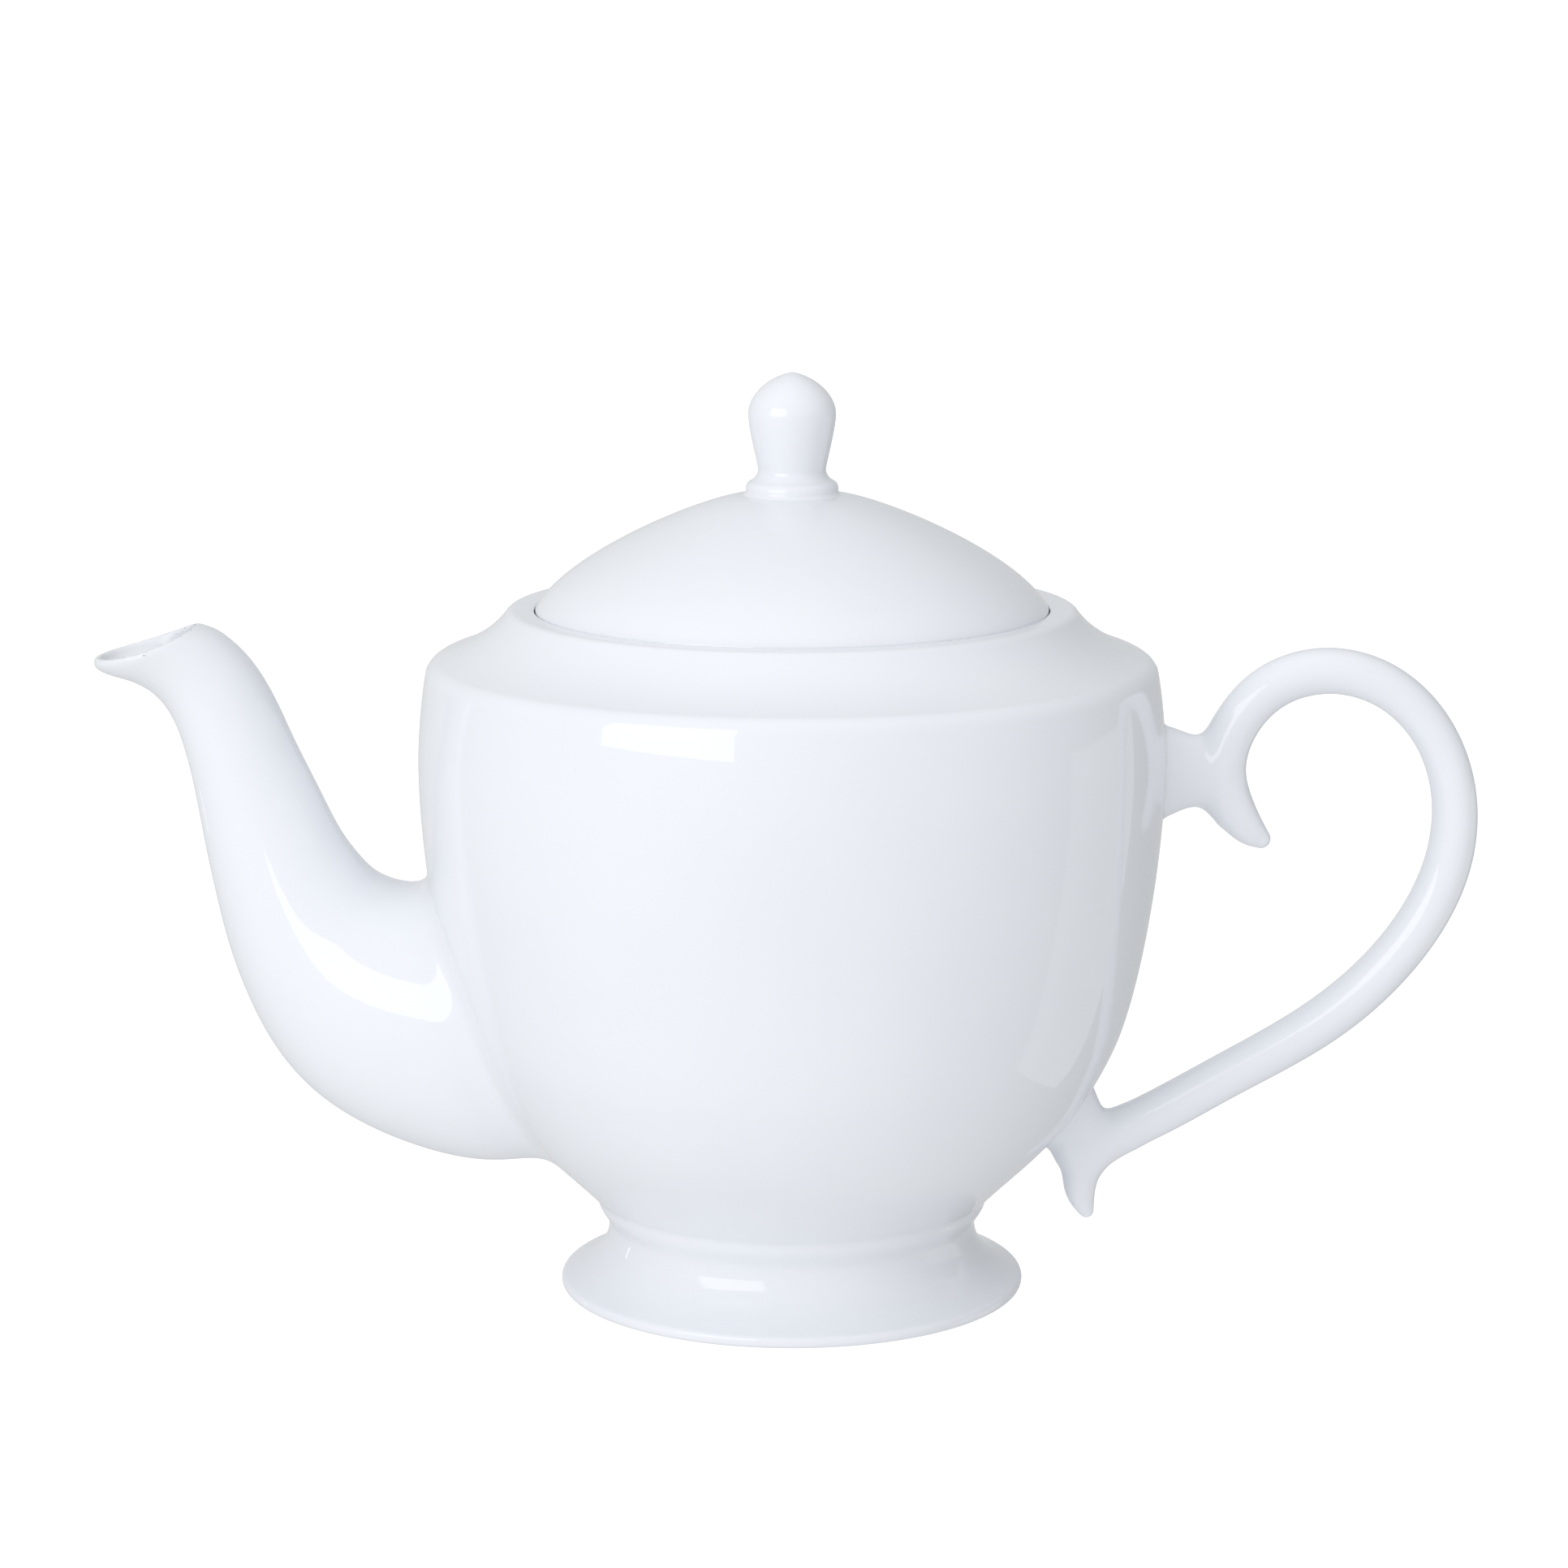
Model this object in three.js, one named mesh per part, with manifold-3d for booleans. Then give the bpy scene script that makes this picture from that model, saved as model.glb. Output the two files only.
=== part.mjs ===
// A footed porcelain teapot: body, pedestal foot, spout, scroll handle and a lift-off lid with its
// knob and locking lug. Millimetres, +Z up. The origin is the centre of the foot on the table, the
// spout points to -X and the handle to +X. Every piece is cast on its own and luted to the body.
import * as THREE from "three";
import { mergeVertices } from "three/addons/utils/BufferGeometryUtils.js";
import Module from "manifold-3d";

// ---- Driving dimensions ------------------------------------------------------------------------
const BODY_WALL = 3.2;
const SPOUT_WALL = 2.4;
const SPOUT_RIM_WALL = 1.3;
const JOINT_GAP = 0.3; // clearance between two pieces that are luted together or rest on each other

const FOOT_RADIUS = 42.6;
const FOOT_HEIGHT = 16.8;
const BASE_RADIUS = 36.0; // where the bowl leaves the foot
const BELLY_RADIUS = 67.75;
const BELLY_HEIGHT = 98.0;
const SHOULDER_RADIUS = 63.75;
const SHOULDER_HEIGHT = 117.4;
const COLLAR_RADIUS = 50.2; // crest of the collar that the lid sits in
const COLLAR_HEIGHT = 126.3;
const SEAT_RADIUS = 46.9; // inner wall of the collar
const SEAT_HEIGHT = 122.6; // ledge that carries the lid
const MOUTH_RADIUS = 41.5;

const LID_RADIUS = 46.4;
const LID_CROWN_HEIGHT = 146.7;
const FLANGE_RADIUS = 40.6;
const FLANGE_BOTTOM = 112.5;
const LID_WALL = 3.0;
const VENT_RADIUS = 1.5;
const KNOB_SEAT_RADIUS = 9.0;
const KNOB_TOP = 168.8;

const LUG_WIDTH = 12.0;
const LUG_REACH = 44.6; // how far the lug stands out from the pot's axis
const LUG_BOTTOM = 113.2;
const LUG_TOP = 116.8;
const NOTCH_WIDTH = 15.0;
const NOTCH_REACH = 46.0;

const STRAINER_HOLE_RADIUS = 2.5;
const STRAINER_PITCH = 8.0;
const STRAINER_ROWS = [3, 4, 5, 4, 3]; // holes in each row, bottom to top
const STRAINER_HEIGHT = 50.0;

const POT_SIDES = 48; // facets round the pot's axis
const KNOB_SIDES = 24;
const SPOUT_SIDES = 20;
const HANDLE_SIDES = 12;

const porcelain = { color: 0xeef1f8, roughness: 0.08, metalness: 0.0 };

// ---- Solids ------------------------------------------------------------------------------------
const wasm = await Module();
wasm.setup();

/** A closed three.js geometry as a manifold solid, with triangles that closed up on the axis left out. */
function toSolid(geometry) {
  const bare = geometry.clone();
  bare.deleteAttribute("normal");
  bare.deleteAttribute("uv");
  const merged = mergeVertices(bare, 1e-4);
  const triangles = [];
  for (let i = 0; i < merged.index.count; i += 3) {
    const [a, b, c] = [0, 1, 2].map((corner) => merged.index.getX(i + corner));
    if (a !== b && b !== c && c !== a) triangles.push(a, b, c);
  }
  const vertProperties = new Float32Array(merged.attributes.position.array);
  return new wasm.Manifold(new wasm.Mesh({ numProp: 3, vertProperties, triVerts: new Uint32Array(triangles) }));
}

/** A named mesh made from a manifold solid. */
function toMesh(name, solid) {
  const { vertProperties, triVerts } = solid.getMesh();
  const geometry = new THREE.BufferGeometry();
  geometry.setAttribute("position", new THREE.BufferAttribute(vertProperties, 3));
  geometry.setIndex(new THREE.BufferAttribute(triVerts, 1));
  geometry.computeVertexNormals();
  const mesh = new THREE.Mesh(geometry, new THREE.MeshStandardMaterial(porcelain));
  mesh.name = name;
  return mesh;
}

const at = (radius, height) => new THREE.Vector2(radius, height);
const line = (...ends) => [new THREE.LineCurve(...ends), 1];
const arc = (from, corner, to, steps = 3) => [new THREE.QuadraticBezierCurve(from, corner, to), steps];
const sweep = (from, leave, arrive, to, steps) => [new THREE.CubicBezierCurve(from, leave, arrive, to), steps];

/** The points of a run of curves that follow each other, each cut into its number of steps. */
function outline(...stretches) {
  const points = stretches.flatMap(([curve, steps]) => curve.getPoints(steps));
  return points.filter((point, i) => i === 0 || point.distanceTo(points[i - 1]) > 1e-6);
}

/** The solid of revolution about Z of an outline in (radius, height), outer side going up. */
function turned(points, sides = POT_SIDES) {
  return toSolid(new THREE.LatheGeometry(points, sides).rotateX(Math.PI / 2));
}

/** A block between two corners. */
function block(low, high) {
  const size = high.clone().sub(low);
  const centre = low.clone().add(high).multiplyScalar(0.5);
  return toSolid(new THREE.BoxGeometry(size.x, size.y, size.z).translate(centre.x, centre.y, centre.z));
}

/**
 * A skin over rings of points, closed by a flat cap at each end. Each section of the skin is an
 * ellipse across the XZ plane: its centre, the half axis in that plane and the half width along Y.
 */
function loft(sections, sides) {
  const positions = [];
  const triangles = [];
  for (const { centre, half, width } of sections) {
    for (let k = 0; k < sides; k += 1) {
      const angle = (2 * Math.PI * k) / sides;
      const point = centre.clone().addScaledVector(half, Math.cos(angle));
      positions.push(point.x, point.y + width * Math.sin(angle), point.z);
    }
  }
  for (let ring = 0; ring + 1 < sections.length; ring += 1) {
    for (let k = 0; k < sides; k += 1) {
      const [here, next] = [ring * sides + k, ring * sides + ((k + 1) % sides)];
      triangles.push(here, next, here + sides, next, next + sides, here + sides);
    }
  }
  const last = (sections.length - 1) * sides;
  for (let k = 1; k + 1 < sides; k += 1) {
    triangles.push(0, k + 1, k, last, last + k, last + k + 1);
  }
  const geometry = new THREE.BufferGeometry();
  geometry.setAttribute("position", new THREE.Float32BufferAttribute(positions, 3));
  geometry.setIndex(triangles);
  return toSolid(geometry);
}

// ---- Body: the bowl, its shoulder, the collar and the ledge for the lid --------------------------
const bowlMiddle = at(59.39, 46.54);
const belly = at(BELLY_RADIUS, BELLY_HEIGHT);
const bowlOutline = [
  sweep(at(BASE_RADIUS, FOOT_HEIGHT + JOINT_GAP), at(44.36, 25.96), at(52.26, 30.51), bowlMiddle, 5),
  sweep(bowlMiddle, at(63.84, 56.56), at(BELLY_RADIUS, 81.56), belly, 5),
  sweep(belly, at(BELLY_RADIUS, 104.22), at(66.74, 112.75), at(66.1, 115.4), 2),
  arc(at(66.1, 115.4), at(65.3, 117.0), at(SHOULDER_RADIUS, SHOULDER_HEIGHT)),
];
const collarOutline = [
  sweep(at(SHOULDER_RADIUS, SHOULDER_HEIGHT), at(57.9, 119.5), at(54.15, 122.2), at(51.8, 125.4), 4),
  arc(at(51.8, 125.4), at(51.2, COLLAR_HEIGHT), at(COLLAR_RADIUS, COLLAR_HEIGHT), 2),
  sweep(at(COLLAR_RADIUS, COLLAR_HEIGHT), at(48.8, COLLAR_HEIGHT), at(SEAT_RADIUS, 125.9), at(SEAT_RADIUS, 124.6), 4),
  line(at(SEAT_RADIUS, 124.6), at(SEAT_RADIUS, SEAT_HEIGHT)),
  line(at(SEAT_RADIUS, SEAT_HEIGHT), at(MOUTH_RADIUS, SEAT_HEIGHT)),
  line(at(MOUTH_RADIUS, SEAT_HEIGHT), at(MOUTH_RADIUS, 119.4)),
];
const innerBelly = at(BELLY_RADIUS - BODY_WALL, BELLY_HEIGHT);
const innerBowl = at(bowlMiddle.x - BODY_WALL, bowlMiddle.y + 1);
const floorEdge = at(33.0, FOOT_HEIGHT + JOINT_GAP + BODY_WALL + 0.8);
const hollowOutline = [
  sweep(at(MOUTH_RADIUS, 119.4), at(50.5, 121.3), at(54.2, 115.6), at(61.0, 114.2), 3),
  arc(at(61.0, 114.2), at(63.0, 113.6), at(63.4, 111.0), 2),
  sweep(at(63.4, 111.0), at(64.3, 105.0), at(innerBelly.x, 102.0), innerBelly, 2),
  sweep(innerBelly, at(innerBelly.x, 81.56), at(60.8, 57.0), innerBowl, 4),
  sweep(innerBowl, at(49.2, 32.0), at(41.0, 27.6), floorEdge, 4),
  line(floorEdge, at(0, floorEdge.y - 0.8)),
];

/** The pierced grid behind the spout: rows of round holes through the wall, along X. */
function strainerHoles() {
  const drill = new THREE.CylinderGeometry(STRAINER_HOLE_RADIUS, STRAINER_HOLE_RADIUS, 24, 10);
  drill.rotateZ(Math.PI / 2).translate(-58, 0, 0);
  const holes = [];
  STRAINER_ROWS.forEach((count, row) => {
    const height = STRAINER_HEIGHT + (row - (STRAINER_ROWS.length - 1) / 2) * STRAINER_PITCH * 0.87;
    for (let k = 0; k < count; k += 1) {
      holes.push(toSolid(drill.clone().translate(0, (k - (count - 1) / 2) * STRAINER_PITCH, height)));
    }
  });
  return holes.reduce((all, hole) => all.add(hole));
}

function potBody() {
  const underside = line(at(0, FOOT_HEIGHT + JOINT_GAP), at(BASE_RADIUS, FOOT_HEIGHT + JOINT_GAP));
  const shell = turned(outline(underside, ...bowlOutline, ...collarOutline, ...hollowOutline));
  const lugNotch = block(
    new THREE.Vector3(-NOTCH_REACH, -NOTCH_WIDTH / 2, 116),
    new THREE.Vector3(-36, NOTCH_WIDTH / 2, SEAT_HEIGHT + 1),
  );
  return shell.subtract(lugNotch).subtract(strainerHoles());
}

/** The filled body, grown by the joint gap, which spout and handle are cut back to. */
function bodyEnvelope() {
  const grown = outline(...bowlOutline, collarOutline[0]).map(({ x, y }) => at(x + JOINT_GAP * 1.3, y));
  return turned([at(0, grown[0].y), ...grown, at(0, grown.at(-1).y)]);
}

// ---- Foot: a flared ring, hollow underneath, with a bead where it meets the bowl -----------------
function pedestalFoot() {
  const neck = at(33.75, 11.8);
  const restOuter = at(41.0, 0);
  const restInner = at(37.6, 0);
  return turned(
    outline(
      line(restInner, restOuter),
      arc(restOuter, at(FOOT_RADIUS, 0), at(FOOT_RADIUS, 1.3)),
      arc(at(FOOT_RADIUS, 1.3), at(FOOT_RADIUS, 2.0), at(42.0, 2.3), 2),
      sweep(at(42.0, 2.3), at(38.95, 3.5), at(33.7, 6.2), neck, 5),
      sweep(neck, at(33.8, 13.4), at(35.5, 14.7), at(BASE_RADIUS - 0.2, FOOT_HEIGHT), 3),
      line(at(BASE_RADIUS - 0.2, FOOT_HEIGHT), at(31.0, FOOT_HEIGHT)),
      sweep(at(31.0, FOOT_HEIGHT), at(30.0, 11.0), at(30.4, 5.6), at(36.6, 1.2), 4),
      line(at(36.6, 1.2), restInner),
    ),
  );
}

// ---- Spout: sections fan round the bend, each from its outer edge to its inner edge --------------
// [outer x, outer z, inner x, inner z, half width along Y]
const SPOUT_SECTIONS = [
  [-44, 24.9, -56, 75.2, 24.5],
  [-56, 23.9, -65, 75.1, 24.0],
  [-68, 26.3, -70.2, 75.2, 22.5],
  [-79, 30.9, -74, 76.2, 20.4],
  [-88, 37.1, -77, 78.1, 18.2],
  [-94.8, 45.2, -79.7, 81.2, 16.0],
  [-99.8, 55.1, -82.2, 84.9, 14.2],
  [-103.0, 64.5, -84.3, 89.0, 12.8],
  [-105.2, 74.0, -86.4, 93.5, 11.6],
  [-107.1, 84.0, -88.8, 98.5, 10.6],
  [-108.8, 94.0, -91.3, 104.0, 9.8],
  [-110.5, 101.2, -93.7, 109.4, 9.4],
  [-112.6, 106.7, -96.4, 114.3, 9.3],
  [-116.0, 110.9, -99.7, 118.5, 9.4],
  [-120.3, 113.1, -103.5, 121.7, 9.6],
  [-124.4, 114.4, -105.8, 122.7, 9.9],
  [-126.3, 116.0, -106.8, 123.0, 10.1],
  [-126.1, 117.3, -107.6, 123.2, 10.1],
];
const SPOUT_THINNING = 4; // sections over which the wall thins to its rim

/** Spout sections, drawn in from the outer skin by a wall that thins towards the rim of the mouth. */
function spoutSections(wall, rimWall) {
  const last = SPOUT_SECTIONS.length - 1;
  return SPOUT_SECTIONS.map(([outerX, outerZ, innerX, innerZ, width], i) => {
    const inset = THREE.MathUtils.lerp(rimWall, wall, Math.min((last - i) / SPOUT_THINNING, 1));
    const outer = new THREE.Vector3(outerX, 0, outerZ);
    const inner = new THREE.Vector3(innerX, 0, innerZ);
    const half = inner.clone().sub(outer).multiplyScalar(0.5);
    half.setLength(half.length() - inset);
    return { centre: inner.add(outer).multiplyScalar(0.5), half, width: width - inset };
  });
}

function spout() {
  const channel = spoutSections(SPOUT_WALL, SPOUT_RIM_WALL);
  const mouth = channel.at(-1);
  const outward = new THREE.Vector3(-mouth.half.z, 0, mouth.half.x).setLength(4);
  channel.push({ ...mouth, centre: mouth.centre.clone().add(outward) });
  const skin = loft(spoutSections(0, 0), SPOUT_SIDES);
  return skin.subtract(loft(channel, SPOUT_SIDES)).subtract(bodyEnvelope());
}

// ---- Handle: a C-scroll rod, a flared stub at each end and a spur below --------------------------
// Strokes of the handle in the XZ plane: [x, z, half thickness]
const SCROLL_STROKE = [
  [86.0, 83.4, 1.5],
  [83.8, 84.9, 2.8],
  [80.3, 88.9, 3.9],
  [78.2, 96.3, 4.25],
  [80.2, 104.0, 4.2],
  [87.0, 111.7, 4.2],
  [97.1, 114.6, 4.2],
  [108.0, 111.6, 4.05],
  [116.6, 102.9, 3.95],
  [120.5, 91.4, 4.1],
  [119.7, 79.2, 4.3],
  [112.6, 64.5, 4.35],
  [97.4, 49.5, 4.35],
  [79.1, 38.6, 4.2],
  [64.0, 30.3, 4.2],
  [52.0, 24.4, 4.4],
];
const SPUR_STROKE = [
  [60.5, 30.0, 4.6],
  [55.6, 25.4, 4.4],
  [53.4, 20.0, 3.3],
  [53.6, 16.0, 2.4],
  [54.6, 12.2, 1.2],
];
// Stubs that stand on the body: [lower x, lower z, upper x, upper z, half width along Y]
const UPPER_STUB = [
  [60.0, 86.0, 60.0, 105.8, 6.4],
  [66.8, 87.1, 67.2, 104.7, 5.6],
  [70.2, 88.6, 70.4, 103.7, 4.7],
  [73.7, 89.5, 73.8, 102.8, 4.2],
  [78.0, 86.6, 78.0, 105.4, 4.0],
];
const LOWER_STUB = [
  [44.0, 26.0, 51.0, 38.0, 6.0],
  [48.4, 23.8, 55.0, 33.0, 5.2],
  [51.6, 22.6, 58.2, 31.6, 4.4],
  [58.0, 22.6, 62.8, 31.6, 4.0],
];
const HANDLE_WIDTH_RATIO = 1.04; // the rod is a little wider across than it is thick

/** Rings along a stroke. The stroke's half thickness is carried in the curve's y. */
function strokeSections(stroke, steps) {
  const curve = new THREE.CatmullRomCurve3(stroke.map(([x, z, thickness]) => new THREE.Vector3(x, thickness, z)));
  return Array.from({ length: steps + 1 }, (_, i) => {
    const point = curve.getPoint(i / steps);
    const ahead = curve.getTangent(i / steps);
    const half = new THREE.Vector3(ahead.z, 0, -ahead.x).setLength(point.y);
    return { centre: new THREE.Vector3(point.x, 0, point.z), half, width: point.y * HANDLE_WIDTH_RATIO };
  });
}

/** Rings of a stub, each standing between a lower and an upper edge. */
function stubSections(stub) {
  return stub.map(([lowerX, lowerZ, upperX, upperZ, width]) => ({
    centre: new THREE.Vector3((lowerX + upperX) / 2, 0, (lowerZ + upperZ) / 2),
    half: new THREE.Vector3((lowerX - upperX) / 2, 0, (lowerZ - upperZ) / 2),
    width,
  }));
}

function handle() {
  const rod = loft(strokeSections(SCROLL_STROKE, 40), HANDLE_SIDES);
  const spur = loft(strokeSections(SPUR_STROKE, 8), HANDLE_SIDES);
  const upperStub = loft(stubSections(UPPER_STUB), HANDLE_SIDES);
  const lowerStub = loft(stubSections(LOWER_STUB), HANDLE_SIDES);
  return rod.add(spur).add(upperStub).add(lowerStub).subtract(bodyEnvelope());
}

// ---- Lid: a dome with a flange that hangs inside the mouth ---------------------------------------
const lidSeat = SEAT_HEIGHT + JOINT_GAP;

function lid() {
  const flangeInside = FLANGE_RADIUS - LID_WALL;
  const dome = turned(
    outline(
      line(at(FLANGE_RADIUS, lidSeat), at(LID_RADIUS - 0.9, lidSeat)),
      arc(at(LID_RADIUS - 0.9, lidSeat), at(LID_RADIUS, lidSeat), at(LID_RADIUS, lidSeat + 1.2), 2),
      arc(at(LID_RADIUS, lidSeat + 1.2), at(LID_RADIUS, 125.8), at(45.9, 126.75), 2),
      sweep(at(45.9, 126.75), at(40.55, 136.2), at(14.2, 146.8), at(KNOB_SEAT_RADIUS, LID_CROWN_HEIGHT), 8),
      line(at(KNOB_SEAT_RADIUS, LID_CROWN_HEIGHT), at(0, LID_CROWN_HEIGHT)),
      line(at(0, LID_CROWN_HEIGHT), at(0, LID_CROWN_HEIGHT - LID_WALL)),
      sweep(at(0, LID_CROWN_HEIGHT - LID_WALL), at(14, 143.4), at(37.2, 133.0), at(flangeInside, 121.5), 6),
      line(at(flangeInside, 121.5), at(flangeInside, FLANGE_BOTTOM + 0.6)),
      arc(at(flangeInside, FLANGE_BOTTOM + 0.6), at(38.2, FLANGE_BOTTOM), at(39.0, FLANGE_BOTTOM), 2),
      arc(at(39.0, FLANGE_BOTTOM), at(39.9, FLANGE_BOTTOM), at(40.0, FLANGE_BOTTOM + 0.6), 2),
      line(at(40.0, FLANGE_BOTTOM + 0.6), at(FLANGE_RADIUS, lidSeat)),
    ),
  );
  const vent = new THREE.CylinderGeometry(VENT_RADIUS, VENT_RADIUS, 24, 12);
  vent.rotateX(Math.PI / 2).translate(0, 21, LID_CROWN_HEIGHT - 6);
  return dome.subtract(toSolid(vent));
}

function lidKnob() {
  const base = LID_CROWN_HEIGHT + JOINT_GAP;
  return turned(
    outline(
      line(at(0, base), at(8.5, base)),
      arc(at(8.5, base), at(9.0, 148.2), at(8.15, 149.1)),
      arc(at(8.15, 149.1), at(6.6, 149.6), at(6.1, 151.2)),
      sweep(at(6.1, 151.2), at(6.1, 152.2), at(7.9, 158.5), at(7.9, 161.3), 4),
      sweep(at(7.9, 161.3), at(7.9, 164.5), at(4.6, 167.9), at(0, KNOB_TOP), 6),
    ),
    KNOB_SIDES,
  );
}

/** A tab on the flange that passes the notch in the ledge and locks under it when the lid is turned. */
function lidLug() {
  const tab = block(
    new THREE.Vector3(-LUG_REACH, -LUG_WIDTH / 2, LUG_BOTTOM),
    new THREE.Vector3(-FLANGE_RADIUS + 2, LUG_WIDTH / 2, LUG_TOP),
  );
  const flangeSkin = FLANGE_RADIUS + JOINT_GAP;
  const flange = outline(
    line(at(0, LUG_BOTTOM - 2), at(flangeSkin, LUG_BOTTOM - 2)),
    line(at(flangeSkin, LUG_BOTTOM - 2), at(flangeSkin, LUG_TOP + 2)),
    line(at(flangeSkin, LUG_TOP + 2), at(0, LUG_TOP + 2)),
  );
  return tab.subtract(turned(flange));
}

// ---- The assembly ------------------------------------------------------------------------------
const pot = new THREE.Group();
pot.add(
  toMesh("pot_body", potBody()),
  toMesh("pedestal_foot", pedestalFoot()),
  toMesh("spout", spout()),
  toMesh("handle", handle()),
);

const cover = new THREE.Group();
cover.add(toMesh("lid", lid()), toMesh("lid_knob", lidKnob()), toMesh("lid_lug", lidLug()));

const teapot = new THREE.Group();
teapot.add(pot, cover);

export default teapot;
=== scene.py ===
"""The looks of a footed porcelain teapot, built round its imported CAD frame.

The scene is in metres. The pot's axis is Z, the table is z = 0, the spout points to -X and the handle
to +X. Outlines, strokes, sections and fields are written in millimetres and scaled by MM.
"""

import itertools
import math

import bpy
import numpy as np
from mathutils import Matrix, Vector


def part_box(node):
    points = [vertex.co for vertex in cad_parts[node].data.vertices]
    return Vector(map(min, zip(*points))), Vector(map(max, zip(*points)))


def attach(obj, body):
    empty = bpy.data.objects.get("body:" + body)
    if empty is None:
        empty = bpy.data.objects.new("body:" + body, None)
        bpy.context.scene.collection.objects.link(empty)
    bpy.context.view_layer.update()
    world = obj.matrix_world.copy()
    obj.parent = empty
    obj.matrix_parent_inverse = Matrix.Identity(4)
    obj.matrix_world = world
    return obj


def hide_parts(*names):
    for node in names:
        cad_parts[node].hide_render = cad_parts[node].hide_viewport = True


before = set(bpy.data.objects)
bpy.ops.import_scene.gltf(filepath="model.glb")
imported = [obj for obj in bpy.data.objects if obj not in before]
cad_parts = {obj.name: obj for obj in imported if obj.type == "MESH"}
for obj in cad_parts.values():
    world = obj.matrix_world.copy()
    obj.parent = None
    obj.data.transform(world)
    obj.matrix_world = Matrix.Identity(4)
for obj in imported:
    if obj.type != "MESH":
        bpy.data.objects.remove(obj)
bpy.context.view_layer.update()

MM = 0.001
TINY = 1e-6

# ---- Driving sizes, in millimetres -------------------------------------------------------------------


def reach(node_name, corner, axis):
    """One coordinate of a CAD node's box: corner is 0 for the low one, 1 for the high one."""
    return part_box(node_name)[corner][axis] / MM


# Sizes that the frame gives
BELLY_RADIUS = reach("pot_body", 1, 1)
BASE_HEIGHT = reach("pot_body", 0, 2)
COLLAR_HEIGHT = reach("pot_body", 1, 2)
FOOT_RADIUS = reach("pedestal_foot", 1, 1)
LID_RADIUS = reach("lid", 1, 1)
LID_CROWN = reach("lid", 1, 2)
FLANGE_BOTTOM = reach("lid", 0, 2)
KNOB_TOP = reach("lid_knob", 1, 2)
LUG_LOW = [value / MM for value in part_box("lid_lug")[0]]
LUG_HIGH = [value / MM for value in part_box("lid_lug")[1]]

# Sizes inside the CAD boxes, which the frame doesn't give
BASE_RADIUS = 36.0  # where the bowl leaves the foot
BELLY_HEIGHT = 98.0
SHOULDER = (63.75, 117.4)  # (radius, height) of the edge between bowl and shoulder
COLLAR_RADIUS = 50.2  # crest of the collar that the lid sits in
SEAT_RADIUS = 46.52  # inner wall of the collar
SEAT_HEIGHT = 122.6  # ledge that carries the lid
MOUTH_RADIUS = 41.5
FLANGE_RADIUS = 40.6
KNOB_SEAT_RADIUS = 9.0
LID_GAP = 0.3  # between the lid and its ledge
BODY_WALL = 3.2
LID_WALL = 3.0
SPOUT_WALL = 2.3
SPOUT_RIM_WALL = 1.3
SPOUT_THINNING = 9.0  # length over which the wall thins to its rim
DRILL_LENGTH = 24.0
VENT_RADIUS = 1.5
VENT_SETBACK = 21.0  # from the knob towards the back
STRAINER_HOLE_RADIUS = 2.5
STRAINER_PITCH = 8.0
STRAINER_ROW_PITCH = 0.87 * STRAINER_PITCH  # rows of a close packing
STRAINER_ROWS = (3, 4, 5, 4, 3)  # holes in each row, bottom to top
STRAINER_HEIGHT = 50.0
STRAINER_PLACE = -58.0  # x of the middle of the drilled holes
NOTCH = ((-46.0, -7.5, 116.0), (-36.0, 7.5, 124.0))  # two corners of the gap in the ledge for the lug

POT_SIDES = 192
KNOB_SIDES = 96
COVE_SIDES = 96
DRILL_SIDES = 24
CRISP_ANGLE = 40.0  # a cut leaves edges sharper than this many degrees crisp

# ---- Curves -----------------------------------------------------------------------------------------


def bezier(steps, *controls):
    """Points on the Bezier curve of any degree with these control points."""
    t = np.linspace(0, 1, steps + 1)[:, None]
    rows = [np.asarray(point, float) for point in controls]
    while len(rows) > 1:
        rows = [(1 - t) * a + t * b for a, b in zip(rows, rows[1:])]
    return rows[0]


def outline(*stretches):
    """Stretches of points joined end to end, each shared end kept once."""
    points = [stretches[0]]
    for stretch in stretches[1:]:
        shared = np.allclose(stretch[0], points[-1][-1], atol=TINY)
        points.append(stretch[1:] if shared else stretch)
    return np.vstack(points)


def spline(knots, count):
    """Rows on the natural cubic spline through the knots, spaced evenly by the knots' chord length."""
    knots = np.asarray(knots, float)
    gap = np.linalg.norm(np.diff(knots[:, :2], axis=0), axis=1)
    place = np.concatenate([[0], np.cumsum(gap)])
    size = len(knots)
    system = np.eye(size)
    pull = np.zeros_like(knots)
    for i in range(1, size - 1):
        system[i, i - 1 : i + 2] = gap[i - 1], 2 * (gap[i - 1] + gap[i]), gap[i]
        pull[i] = 6 * ((knots[i + 1] - knots[i]) / gap[i] - (knots[i] - knots[i - 1]) / gap[i - 1])
    bend = np.linalg.solve(system, pull)
    at = np.linspace(0, place[-1], count + 1)
    k = np.clip(np.searchsorted(place, at) - 1, 0, size - 2)
    step = gap[k][:, None]
    ahead = (at - place[k])[:, None]
    behind = step - ahead
    return (
        bend[k] * behind**3 / (6 * step)
        + bend[k + 1] * ahead**3 / (6 * step)
        + (knots[k] / step - bend[k] * step / 6) * behind
        + (knots[k + 1] / step - bend[k + 1] * step / 6) * ahead
    )


# ---- Meshes -----------------------------------------------------------------------------------------


def add_mesh(name, points, faces, normals=None):
    """A smooth-shaded mesh object from points in millimetres, with its own normals if they are given."""
    mesh = bpy.data.meshes.new(name)
    mesh.from_pydata((np.asarray(points) * MM).tolist(), [], faces)
    mesh.validate()
    mesh.shade_smooth()
    if normals is not None:
        mesh.normals_split_custom_set_from_vertices(normals.tolist())
    piece = bpy.data.objects.new(name, mesh)
    bpy.context.scene.collection.objects.link(piece)
    return piece


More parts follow.
